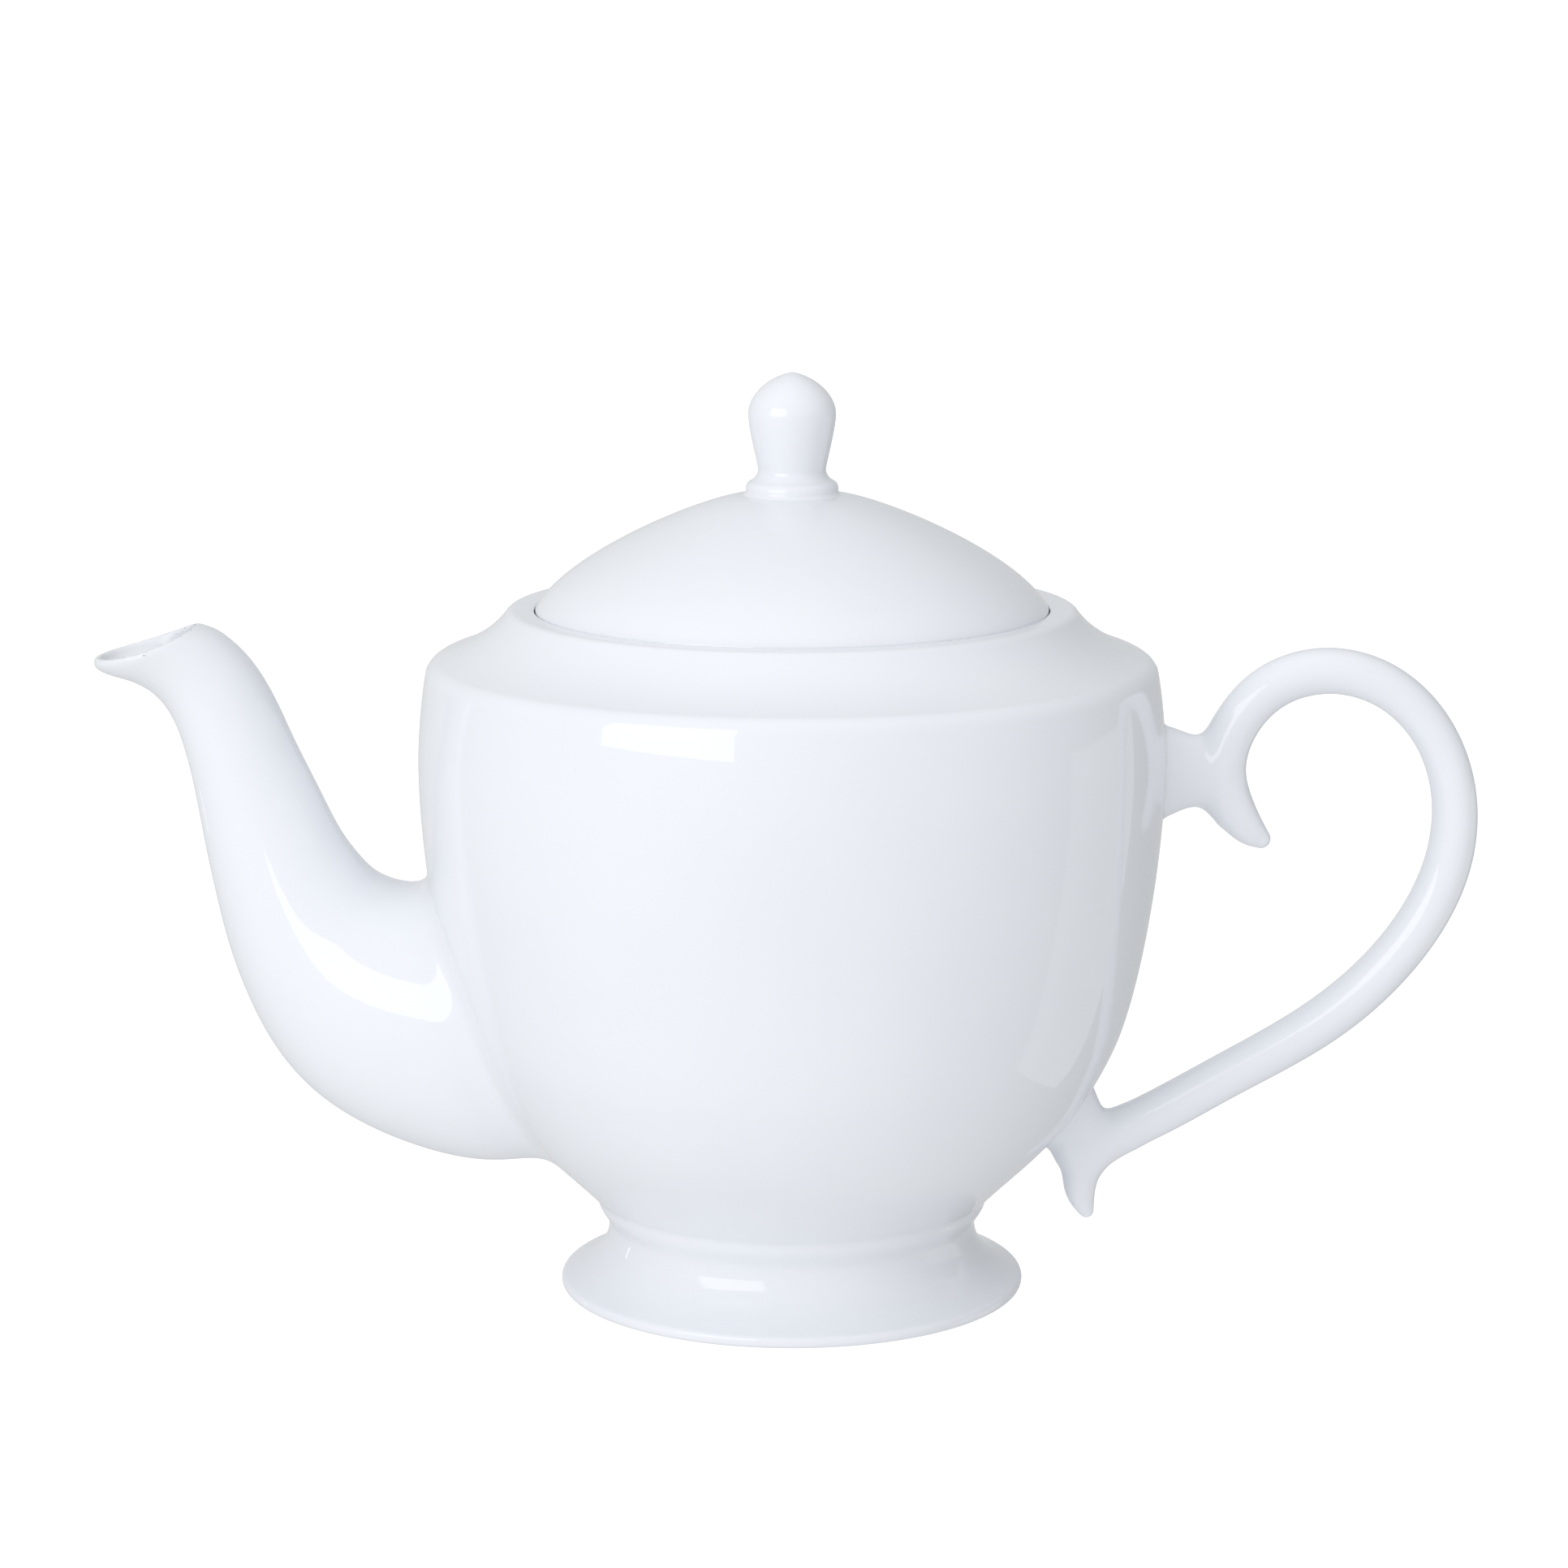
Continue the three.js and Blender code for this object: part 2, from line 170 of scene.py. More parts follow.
def lathe(name, points, sides):
    """A closed solid of revolution about Z of an outline in (radius, height), outer side going up."""
    turn = np.linspace(0, 2 * math.pi, sides, endpoint=False)
    vertices = []
    rings = []
    for radius, height in points:
        first = len(vertices)
        if radius < TINY:
            vertices.append((0.0, 0.0, height))
            rings.append([first] * sides)
        else:
            vertices.extend((radius * math.cos(a), radius * math.sin(a), height) for a in turn)
            rings.append(list(range(first, first + sides)))
    pairs = list(zip(rings, rings[1:]))
    if points[0][0] > TINY:
        pairs.append((rings[-1], rings[0]))
    faces = []
    for low, high in pairs:
        for k in range(sides):
            corners = (low[k], low[(k + 1) % sides], high[(k + 1) % sides], high[k])
            face = list(dict.fromkeys(corners))
            if len(face) > 2:
                faces.append(face)
    return add_mesh(name, vertices, faces)


def cut_away(piece, cutter):
    """Cuts one mesh out of another and keeps the cut's edges crisp."""
    cut = piece.modifiers.new("cut", "BOOLEAN")
    cut.operation = "DIFFERENCE"
    cut.solver = "EXACT"
    cut.use_self = False
    cut.object = cutter
    graph = bpy.context.evaluated_depsgraph_get()
    mesh = bpy.data.meshes.new_from_object(piece.evaluated_get(graph))
    piece.modifiers.clear()
    piece.data = mesh
    mesh.shade_smooth()
    mesh.set_sharp_from_angle(angle=math.radians(CRISP_ANGLE))
    bpy.data.objects.remove(cutter)


def drill(name, radius, direction, centres):
    """One mesh of parallel round rods, for cutting holes."""
    turn = Vector((0, 0, 1)).rotation_difference(Vector(direction)).to_matrix()
    vertices = []
    faces = []
    for centre in centres:
        first = len(vertices)
        for end in (-DRILL_LENGTH / 2, DRILL_LENGTH / 2):
            for k in range(DRILL_SIDES):
                a = 2 * math.pi * k / DRILL_SIDES
                spot = turn @ Vector((radius * math.cos(a), radius * math.sin(a), end))
                vertices.append(tuple(spot + Vector(centre)))
        low = list(range(first, first + DRILL_SIDES))
        high = list(range(first + DRILL_SIDES, first + 2 * DRILL_SIDES))
        after = [(k + 1) % DRILL_SIDES for k in range(DRILL_SIDES)]
        faces.extend((low[k], low[after[k]], high[after[k]], high[k]) for k in range(DRILL_SIDES))
        faces.extend([low[::-1], high])
    return add_mesh(name, vertices, faces)


# ---- Skins over distance fields ----------------------------------------------------------------------
# A field is negative inside a shape and positive outside it, in millimetres from its surface.
SETTLING_ROUNDS = 8  # rounds in which each point of a skin is pushed onto the surface
SPILL = 0.3  # how far a point may stray out of its cell, in cells
LEAST_TILT = 0.2  # a field's squared slope is taken to be at least this
FAR = 1e9


def merge(a, b, blend):
    """The union of two fields, with a fillet where they meet."""
    near = np.maximum(blend - np.abs(a - b), 0) / blend
    return np.minimum(a, b) - near**3 * blend / 6


def overlap(a, b, blend):
    """What two fields share, with its edges rounded."""
    return -merge(-a, -b, blend)


def trilinear(grid, spots):
    """Values of a sampled grid at fractional cell positions."""
    base = np.clip(spots.astype(int), 0, np.array(grid.shape[:3]) - 2)
    part = spots - base
    total = 0
    for corner in itertools.product((0, 1), repeat=3):
        share = np.prod(np.where(corner, part, 1 - part), axis=1)
        value = grid[tuple((base + corner).T)]
        total = total + (value.T * share).T
    return total


def skin(name, field, low, high, step):
    """Quads over the surface where a field is 0: one point, on the surface, in each cell that it crosses."""
    axes = [np.arange(a, b + step, step) for a, b in zip(low, high)]
    values = field(*np.meshgrid(*axes, indexing="ij", sparse=True))
    slope = np.stack(np.gradient(values, step), axis=-1)
    inside = values < 0
    count = np.zeros([size - 1 for size in inside.shape], np.int8)
    for corner in itertools.product((0, 1), repeat=3):
        count += inside[tuple(slice(c, c + size - 1) for c, size in zip(corner, inside.shape))]
    cells = np.argwhere((count > 0) & (count < 8))
    number = np.full(count.shape, -1)
    number[tuple(cells.T)] = np.arange(len(cells))
    spots = cells + 0.5
    for _ in range(SETTLING_ROUNDS):
        tilt = trilinear(slope, spots)
        push = trilinear(values, spots) / np.maximum((tilt**2).sum(1), LEAST_TILT)
        spots = np.clip(spots - push[:, None] * tilt / step, cells - SPILL, cells + 1 + SPILL)
    faces = []
    for axis in range(3):
        one, two = np.eye(3, dtype=int)[[(axis + 1) % 3, (axis + 2) % 3]]
        below = inside.take(range(inside.shape[axis] - 1), axis)
        above = inside.take(range(1, inside.shape[axis]), axis)
        edges = np.argwhere(below != above)
        ring = [number[tuple((edges - back).T)] for back in (one + two, two, 0 * one, one)]
        quads = np.stack(ring, axis=1)
        hollow = ~below[tuple(edges.T)]
        quads[hollow] = quads[hollow][:, ::-1]
        faces.append(quads)
    normals = trilinear(slope, spots)
    normals /= np.linalg.norm(normals, axis=1)[:, None]
    return add_mesh(name, np.array(low) + spots * step, np.vstack(faces).tolist(), normals)


def stroke_field(stroke, x, y, z):
    """The field of a nearly round rod along a stroke of (x, z, half thickness) in the XZ plane."""
    heads = stroke[:-1]
    legs = np.diff(stroke, axis=0)
    best = np.full(np.broadcast(x, z).shape, FAR)
    thick = np.zeros_like(best)
    for (hx, hz, ht), (lx, lz, lt) in zip(heads, legs):
        along = np.clip(((x - hx) * lx + (z - hz) * lz) / (lx * lx + lz * lz), 0, 1)
        gap = np.hypot(x - hx - along * lx, z - hz - along * lz)
        half = ht + along * lt
        closer = gap - half < best - thick
        best = np.where(closer, gap, best)
        thick = np.where(closer, half, thick)
    return np.sqrt(best**2 + (y / HANDLE_WIDTH_RATIO) ** 2) - thick


def section_field(sections, x, y, z):
    """Where points stand in a tube of (outer x, outer z, inner x, inner z, half width) sections.

    Returns the offset across the section in the XZ plane, the section's half height and half width
    there, and how far the point is beyond the last section and before the first.
    """
    outer, inner = sections[:, 0:2], sections[:, 2:4]
    centre = (outer + inner) / 2
    half = (inner - outer) / 2
    height = np.linalg.norm(half, axis=1)
    across = half / height[:, None]
    ahead = np.stack([-across[:, 1], across[:, 0]], axis=1)
    ahead *= np.sign((ahead[0] * (centre[1] - centre[0])).sum())
    shape = np.broadcast(x, z).shape
    x = np.broadcast_to(x, shape)
    z = np.broadcast_to(z, shape)
    best = np.full(shape, FAR)
    chosen = np.zeros(shape, int)
    lead = np.zeros(shape)
    for k in range(len(sections)):
        dx, dz = x - centre[k, 0], z - centre[k, 1]
        e = dx * ahead[k, 0] + dz * ahead[k, 1]
        u = np.abs(dx * across[k, 0] + dz * across[k, 1])
        cost = np.hypot(e, np.maximum(u - height[k], 0))
        closer = cost < best
        best = np.where(closer, cost, best)
        chosen = np.where(closer, k, chosen)
        lead = np.where(closer, e, lead)
    other = np.clip(chosen + np.where(lead > 0, 1, -1), 0, len(sections) - 1)
    e_other = (x - centre[other, 0]) * ahead[other, 0] + (z - centre[other, 1]) * ahead[other, 1]
    gap = lead - e_other
    part = np.clip(lead / np.where(np.abs(gap) < 1e-9, 1, gap), 0, 1)

    def between(column):
        return column[chosen] * (1 - part) + column[other] * part

    cx, cz = between(centre[:, 0]), between(centre[:, 1])
    ax, az = between(across[:, 0]), between(across[:, 1])
    offset = (x - cx) * ax + (z - cz) * az
    beyond = (x - centre[-1, 0]) * ahead[-1, 0] + (z - centre[-1, 1]) * ahead[-1, 1]
    before = -((x - centre[0, 0]) * ahead[0, 0] + (z - centre[0, 1]) * ahead[0, 1])
    return offset, between(height), between(sections[:, 4]), beyond, before


def oval_field(offset, height, y, width):
    """The field of an oval tube: its offset and half height one way, y and its half width the other way."""
    near = np.sqrt((offset / height) ** 2 + (y / width) ** 2)
    pull = np.sqrt((offset / height**2) ** 2 + (y / width**2) ** 2)
    return near * (near - 1) / np.maximum(pull, TINY)


# ---- Body -------------------------------------------------------------------------------------------
BOWL_MIDDLE = (59.39, 46.54)
BELLY = (BELLY_RADIUS, BELLY_HEIGHT)
BOWL = outline(
    bezier(26, (BASE_RADIUS, BASE_HEIGHT), (44.36, 25.96), (52.26, 30.51), BOWL_MIDDLE),
    bezier(30, BOWL_MIDDLE, (63.84, 56.56), (BELLY_RADIUS, 81.56), BELLY),
    bezier(10, BELLY, (BELLY_RADIUS, 104.22), (66.74, 112.75), (66.1, 115.4)),
    bezier(8, (66.1, 115.4), (65.3, 117.0), SHOULDER),
)
COLLAR = outline(
    bezier(18, SHOULDER, (57.9, 119.5), (54.15, 122.2), (51.8, 125.4)),
    bezier(8, (51.8, 125.4), (51.2, COLLAR_HEIGHT), (COLLAR_RADIUS, COLLAR_HEIGHT)),
    bezier(12, (COLLAR_RADIUS, COLLAR_HEIGHT), (48.9, COLLAR_HEIGHT), (47.4, COLLAR_HEIGHT), (46.8, 126.2)),
    bezier(6, (46.8, 126.2), (SEAT_RADIUS, 126.1), (SEAT_RADIUS, 125.7)),
    bezier(4, (SEAT_RADIUS, 123.6), (SEAT_RADIUS, SEAT_HEIGHT), (SEAT_RADIUS - 1, SEAT_HEIGHT)),
    bezier(4, (MOUTH_RADIUS + 0.8, SEAT_HEIGHT), (MOUTH_RADIUS, SEAT_HEIGHT), (MOUTH_RADIUS, 121.8)),
    bezier(4, (MOUTH_RADIUS, 120.3), (MOUTH_RADIUS, 119.4), (MOUTH_RADIUS + 1, 119.4)),
)
INNER_BELLY = (BELLY_RADIUS - BODY_WALL, BELLY_HEIGHT)
INNER_BOWL = (BOWL_MIDDLE[0] - BODY_WALL, BOWL_MIDDLE[1] + 1)
FLOOR_EDGE = (33.0, BASE_HEIGHT + BODY_WALL + 0.8)
HOLLOW = outline(
    bezier(10, (MOUTH_RADIUS + 1, 119.4), (50.5, 121.3), (54.2, 115.6), (61.0, 114.2)),
    bezier(5, (61.0, 114.2), (63.0, 113.6), (63.4, 111.0)),
    bezier(6, (63.4, 111.0), (64.3, 105.0), (INNER_BELLY[0], 102.0), INNER_BELLY),
    bezier(20, INNER_BELLY, (INNER_BELLY[0], 81.56), (60.8, 57.0), INNER_BOWL),
    bezier(18, INNER_BOWL, (49.2, 32.0), (41.0, 27.6), FLOOR_EDGE),
    bezier(12, FLOOR_EDGE, (24, FLOOR_EDGE[1] - 0.8), (8, FLOOR_EDGE[1] - 0.8), (0, FLOOR_EDGE[1] - 0.8)),
)

MOST_LEAN = 2.0  # where the bowl's side leans more than this, it is taken to lean by this


def body_field(x, y, z):
    """The field of the filled body, near its outer side."""
    radius = np.interp(z, BOWL[:, 1], BOWL[:, 0])
    lean = np.interp(z, BOWL[:, 1], np.gradient(BOWL[:, 0], BOWL[:, 1]))
    return (np.hypot(x, y) - radius) / np.sqrt(1 + np.minimum(np.abs(lean), MOST_LEAN) ** 2)


def make_body():
    underside = bezier(10, (0, BASE_HEIGHT), (BASE_RADIUS, BASE_HEIGHT))
    body = lathe("glazed_body", outline(underside, BOWL, COLLAR, HOLLOW), POT_SIDES)
    holes = []
    for row, count in enumerate(STRAINER_ROWS):
        height = STRAINER_HEIGHT + (row - (len(STRAINER_ROWS) - 1) / 2) * STRAINER_ROW_PITCH
        holes.extend((STRAINER_PLACE, (k - (count - 1) / 2) * STRAINER_PITCH, height) for k in range(count))
    cut_away(body, drill("strainer_drill", STRAINER_HOLE_RADIUS, (1, 0, 0), holes))
    low, high = np.array(NOTCH)
    corners = [low + (high - low) * c for c in itertools.product((0, 1), repeat=3)]
    faces = [(0, 1, 3, 2), (4, 6, 7, 5), (0, 4, 5, 1), (2, 3, 7, 6), (0, 2, 6, 4), (1, 5, 7, 3)]
    cut_away(body, add_mesh("notch_cutter", corners, faces))
    return body


# ---- Foot -------------------------------------------------------------------------------------------
def make_foot():
    neck = (33.75, 11.8)
    rest_outer, rest_inner = (41.0, 0.0), (37.9, 0.0)
    joint = (37.0, 18.15)  # where the bead runs on into the bowl
    inside = (31.0, 18.6)
    return lathe(
        "glazed_foot",
        outline(
            bezier(3, rest_inner, rest_outer),
            bezier(8, rest_outer, (FOOT_RADIUS, 0), (FOOT_RADIUS, 1.3)),
            bezier(6, (FOOT_RADIUS, 1.3), (FOOT_RADIUS, 2.0), (42.0, 2.3)),
            bezier(20, (42.0, 2.3), (38.95, 3.5), (33.7, 6.2), neck),
            bezier(12, neck, (33.8, 13.4), (35.4, 14.6), (35.8, 16.2)),
            bezier(8, (35.8, 16.2), (36.1, 17.35), joint),
            bezier(3, joint, (34.0, 18.6)),
            bezier(3, (34.0, 18.6), inside),
            bezier(16, inside, (30.0, 11.0), (30.4, 5.6), (36.6, 1.2)),
            bezier(5, (36.6, 1.2), (37.4, 0.6), rest_inner),
        ),
        POT_SIDES,
    )


# ---- Spout ------------------------------------------------------------------------------------------
# Sections fan round the bend: (outer x, outer z, inner x, inner z, half width along Y)
SPOUT_SECTIONS = [
    (-44, 24.9, -56, 75.2, 24.5),
    (-56, 23.9, -65, 75.1, 24.0),
    (-68, 26.3, -70.2, 75.2, 22.5),
    (-79, 30.9, -74, 76.2, 20.4),
    (-88, 37.1, -77, 78.1, 18.2),
    (-94.8, 45.2, -79.7, 81.2, 16.0),
    (-99.8, 55.1, -82.2, 84.9, 14.2),
    (-103.0, 64.5, -84.3, 89.0, 12.8),
    (-105.2, 74.0, -86.4, 93.5, 11.6),
    (-107.1, 84.0, -88.8, 98.5, 10.6),
    (-108.8, 94.0, -91.3, 104.0, 9.8),
    (-110.5, 101.2, -93.7, 109.4, 9.4),
    (-112.6, 106.7, -96.4, 114.3, 9.3),
    (-116.0, 110.9, -99.7, 118.5, 9.4),
    (-120.3, 113.1, -103.5, 121.7, 9.6),
    (-124.4, 114.4, -105.8, 122.7, 9.9),
    (-126.3, 116.0, -106.8, 123.0, 10.1),
    (-126.1, 117.3, -107.6, 123.2, 10.1),
]
SPOUT_RINGS = 160
SPOUT_FILLET = 6.0
SPOUT_REACH = (-129, -33, 14), (-34, 33, 127)  # two corners of the space that holds the spout
SPOUT_STEP = 0.575  # size of the cells that its skin is made in
MOUTH_DIP = 0.9  # how far the rim dips at its sides below the line from tip to heel
MOUTH_ROUNDING = 0.9
MOUTH_MIDDLE = (-116.8, 0.0, 120.2)
JOINT_DEPTH = 1.2  # how far a luted piece's skirt goes into the body
JOINT_SINK = 0.04  # a skirt's edge lies this far under the body's surface
JOINT_SPARE = 1.2  # how far the hidden skirt goes on past its fillet


def luted(field, x, y, z, fillet):
    """A field that stands on the body, filleted to it, with a skirt that ends just inside it."""
    body = body_field(x, y, z)
    skirt = merge(field, body + JOINT_SINK, fillet)
    return np.maximum(np.maximum(skirt, -(body + JOINT_DEPTH)), field - fillet - JOINT_SPARE)


def spout_field(x, y, z):
    sections = spline(SPOUT_SECTIONS, SPOUT_RINGS)
    offset, height, width, beyond, _ = section_field(sections, x, y, z)
    outside = luted(oval_field(offset, height, y, width), x, y, z, SPOUT_FILLET)
    wall = SPOUT_RIM_WALL + (SPOUT_WALL - SPOUT_RIM_WALL) * np.clip(-beyond / SPOUT_THINNING, 0, 1)
    channel = oval_field(offset, height - wall, y, width - wall)
    rim = beyond + MOUTH_DIP * np.clip(1 - (offset / height) ** 2, 0, 1)
    return overlap(overlap(outside, rim, MOUTH_ROUNDING), -channel, MOUTH_ROUNDING)


def make_spout():
    return skin("glazed_spout", spout_field, *SPOUT_REACH, SPOUT_STEP)


# ---- Handle -----------------------------------------------------------------------------------------
# Strokes in the XZ plane: (x, z, half thickness)
SCROLL_STROKE = [
    (85.5, 83.6, 1.8),
    (83.7, 85.0, 2.7),
    (80.5, 89.2, 3.8),
    (78.3, 96.3, 4.25),
    (80.2, 104.0, 4.2),
    (87.0, 111.7, 4.2),
    (97.1, 114.6, 4.2),
    (108.0, 111.6, 4.05),
    (116.6, 102.9, 3.95),
    (120.5, 91.4, 4.1),
    (119.7, 79.2, 4.3),
    (112.6, 64.5, 4.35),
    (97.4, 49.5, 4.35),
    (79.1, 38.6, 4.2),
    (64.0, 30.3, 4.2),
    (52.0, 25.2, 3.9),
]
SPUR_STROKE = [
    (61.0, 28.6, 3.0),
    (56.2, 25.2, 3.6),
    (53.4, 20.0, 3.3),
    (53.6, 16.0, 2.4),
    (54.5, 13.4, 1.4),
]
# Stubs that stand on the body: (lower x, lower z, upper x, upper z, half width along Y)
UPPER_STUB = [
    (60.0, 86.0, 60.0, 105.8, 6.4),
    (66.8, 87.1, 67.2, 104.7, 5.6),
    (70.2, 88.6, 70.4, 103.7, 4.7),
    (73.7, 89.5, 73.8, 102.8, 4.2),
    (78.0, 86.6, 78.0, 105.4, 4.0),
]
LOWER_STUB = [
    (44.0, 26.8, 51.5, 45.0, 6.0),
    (48.4, 25.0, 55.3, 37.6, 5.2),
    (51.6, 24.0, 57.5, 32.5, 4.4),
    (56.0, 24.4, 60.6, 28.9, 3.6),
]
SCROLL_RINGS = 220
SPUR_RINGS = 50
STUB_RINGS = 40
STUB_ROUNDING = 1.0
HANDLE_WIDTH_RATIO = 1.04  # the rod is a little wider across than it is thick
STUB_FILLET = 3.0  # between the rod and its stubs
SPUR_FILLET = 4.0
HANDLE_FILLET = 1.5  # between the handle and the body
HANDLE_REACH = (40, -12, 8), (127, 12, 121)
HANDLE_STEP = 0.45


def stub_field(stub, x, y, z):
    sections = spline(stub, STUB_RINGS)
    offset, height, width, beyond, before = section_field(sections, x, y, z)
    return overlap(oval_field(offset, height, y, width), np.maximum(beyond, before), STUB_ROUNDING)


def handle_field(x, y, z):
    rod = stroke_field(spline(SCROLL_STROKE, SCROLL_RINGS), x, y, z)
    spur = stroke_field(spline(SPUR_STROKE, SPUR_RINGS), x, y, z)
    whole = merge(rod, stub_field(UPPER_STUB, x, y, z), STUB_FILLET)
    whole = merge(whole, stub_field(LOWER_STUB, x, y, z), STUB_FILLET)
    whole = merge(whole, spur, SPUR_FILLET)
    return luted(whole, x, y, z, HANDLE_FILLET)


def make_handle():
    return skin("glazed_handle", handle_field, *HANDLE_REACH, HANDLE_STEP)


# ---- Lid --------------------------------------------------------------------------------------------
def make_lid():
    seat = SEAT_HEIGHT + LID_GAP
    flange_top = (FLANGE_RADIUS - 0.1, seat - 0.6)
    edge = (46.25, 126.4)
    crown = (KNOB_SEAT_RADIUS, LID_CROWN)
    inside = FLANGE_RADIUS - LID_WALL
    bottom = FLANGE_BOTTOM
    vent = (0, VENT_SETBACK, LID_CROWN - 2 * LID_WALL)
    lid = lathe(
        "glazed_lid",
        outline(
            bezier(4, flange_top, (FLANGE_RADIUS, seat), (FLANGE_RADIUS + 0.6, seat)),
            bezier(6, (LID_RADIUS - 0.9, seat), (LID_RADIUS, seat), (LID_RADIUS, seat + 1.2)),
            bezier(8, (LID_RADIUS, seat + 1.2), (LID_RADIUS, 126.15), edge),
            bezier(36, edge, (40.55, 136.2), (14.2, 146.8), crown),
            bezier(6, crown, (4, LID_CROWN + 0.1), (0, LID_CROWN + 0.1)),
            bezier(26, (0, LID_CROWN - LID_WALL), (14, 143.8), (37.2, 133.0), (inside, 121.5)),
            bezier(5, (inside, bottom + 0.8), (inside, bottom), (inside + 0.9, bottom)),
            bezier(5, (39.1, bottom), (40.0, bottom), (40.02, bottom + 0.8)),
            bezier(6, (40.02, bottom + 0.8), flange_top),
        ),
        POT_SIDES,
    )
    cut_away(lid, drill("vent_drill", VENT_RADIUS, (0, 0, 1), [vent]))
    return lid


# ---- Knob -------------------------------------------------------------------------------------------
KNOB_SINK = 0.4  # how far the knob goes into the lid


def make_knob():
    base = LID_CROWN - KNOB_SINK
    foot = (9.7, base)
    return lathe(
        "glazed_knob",
        outline(
            bezier(6, (0, base), foot),
            bezier(8, foot, (8.9, 146.75), (8.4, 146.95), (8.35, 147.6)),
            bezier(8, (8.35, 147.6), (8.4, 148.7), (7.8, 149.1)),
            bezier(8, (7.8, 149.1), (6.3, 149.8), (6.1, 151.2)),
            bezier(14, (6.1, 151.2), (6.1, 152.2), (7.9, 158.5), (7.9, 161.3)),
            bezier(20, (7.9, 161.3), (7.9, 164.5), (4.6, 167.9), (0, KNOB_TOP)),
        ),
        KNOB_SIDES,
    )


# ---- Lug --------------------------------------------------------------------------------------------
LUG_SINK = 1.2  # how much further than its CAD node the lug goes into the flange
LUG_ROUNDING = 0.9
LUG_MARGIN = 1.2  # round the lug, in the space that holds it
LUG_REACH = [value - LUG_MARGIN for value in LUG_LOW], [value + 2 * LUG_MARGIN for value in LUG_HIGH]
LUG_STEP = 0.3


def lug_field(x, y, z):
    """The field of a block with rounded edges."""
    low = np.array(LUG_LOW)
    high = np.array(LUG_HIGH) + (LUG_SINK, 0, 0)
    away = []
    for value, a, b in zip((x, y, z), low, high):
        away.append(np.abs(value - (a + b) / 2) - (b - a) / 2 + LUG_ROUNDING)
    outer = np.sqrt(sum(np.maximum(side, 0) ** 2 for side in away))
    inner = np.minimum(np.maximum(np.maximum(away[0], away[1]), away[2]), 0)
    return outer + inner - LUG_ROUNDING


def make_lug():
    return skin("glazed_lug", lug_field, *LUG_REACH, LUG_STEP)


# ---- Materials --------------------------------------------------------------------------------------
CHINA_DARK, CHINA_LIGHT = (0.868, 0.888, 0.925, 1), (0.890, 0.906, 0.938, 1)
SPECK_COLOUR = (0.70, 0.70, 0.69, 1)
BISQUE_DARK, BISQUE_LIGHT = (0.70, 0.68, 0.64, 1), (0.82, 0.80, 0.77, 1)
# Light scatters in the thin wall round the spout's mouth. It does so in full within the first of these
# distances from the middle of the mouth and not at all beyond the second.
GLOW_FULL, GLOW_END = 7.0, 18.0
GLOW_WEIGHT = 0.28
GLOW_DEPTH = 0.004  # in metres


def node(tree, kind, **settings):
    """A new node. Each setting is one of its attributes or else a socket, named with _ for a space."""
    made = tree.nodes.new(kind)
    for key, value in settings.items():
        if hasattr(made, key):
            setattr(made, key, value)
        else:
            made.inputs[key.replace("_", " ")].default_value = value
    return made


def new_material(name):
    """A material, with its node tree and its shader."""
    material = bpy.data.materials.new(name)
    material.use_nodes = True
    return material, material.node_tree, material.node_tree.nodes["Principled BSDF"]


def noise(tree, **settings):
    """The value of a noise texture over the piece."""
    texture = node(tree, "ShaderNodeTexNoise", **settings)
    tree.links.new(node(tree, "ShaderNodeTexCoord").outputs["Object"], texture.inputs["Vector"])
    return texture.outputs["Fac"]


def remap(tree, value, **limits):
    """A value carried from one range to another."""
    made = node(tree, "ShaderNodeMapRange", **limits)
    tree.links.new(value, made.inputs["Value"])
    return made.outputs["Result"]


def tint(tree, value, low, high, start=0.0, end=1.0):
    """A colour that goes from low to high as the value goes from start to end."""
    ramp = node(tree, "ShaderNodeValToRGB")
    first, second = ramp.color_ramp.elements
    first.position, first.color = start, low
    second.position, second.color = end, high
    tree.links.new(value, ramp.inputs["Fac"])
    return ramp.outputs["Color"]


def porcelain(name):
    """Cool white bone china under a clear, slightly uneven glaze."""
    material, tree, shader = new_material(name)

    cloud = noise(tree, Scale=28.0, Detail=3.0, Roughness=0.55)
    speck = noise(tree, Scale=1400.0, Detail=1.0)
    colour = node(tree, "ShaderNodeMix", data_type="RGBA")
    colour.inputs["B"].default_value = SPECK_COLOUR
    tree.links.new(remap(tree, speck, From_Min=0.76, From_Max=0.80, To_Max=0.18), colour.inputs["Factor"])
    tree.links.new(tint(tree, cloud, CHINA_DARK, CHINA_LIGHT, 0.3, 0.7), colour.inputs["A"])
    tree.links.new(colour.outputs["Result"], shader.inputs["Base Color"])

    polish = noise(tree, Scale=60.0, Detail=2.0)
    tree.links.new(remap(tree, polish, To_Min=0.30, To_Max=0.38), shader.inputs["Roughness"])

    swell = node(tree, "ShaderNodeBump", Strength=0.15, Distance=0.0003)
    tree.links.new(noise(tree, Scale=55.0, Detail=1.0), swell.inputs["Height"])
    peel = node(tree, "ShaderNodeBump", Strength=0.10, Distance=0.00002)
    tree.links.new(noise(tree, Scale=420.0, Detail=1.0), peel.inputs["Height"])
    tree.links.new(swell.outputs["Normal"], peel.inputs["Normal"])
    tree.links.new(peel.outputs["Normal"], shader.inputs["Normal"])

    shader.inputs["IOR"].default_value = 1.5
    shader.inputs["Specular IOR Level"].default_value = 0.15
    shader.inputs["Coat Weight"].default_value = 1.0
    shader.inputs["Coat Roughness"].default_value = 0.008
    return material


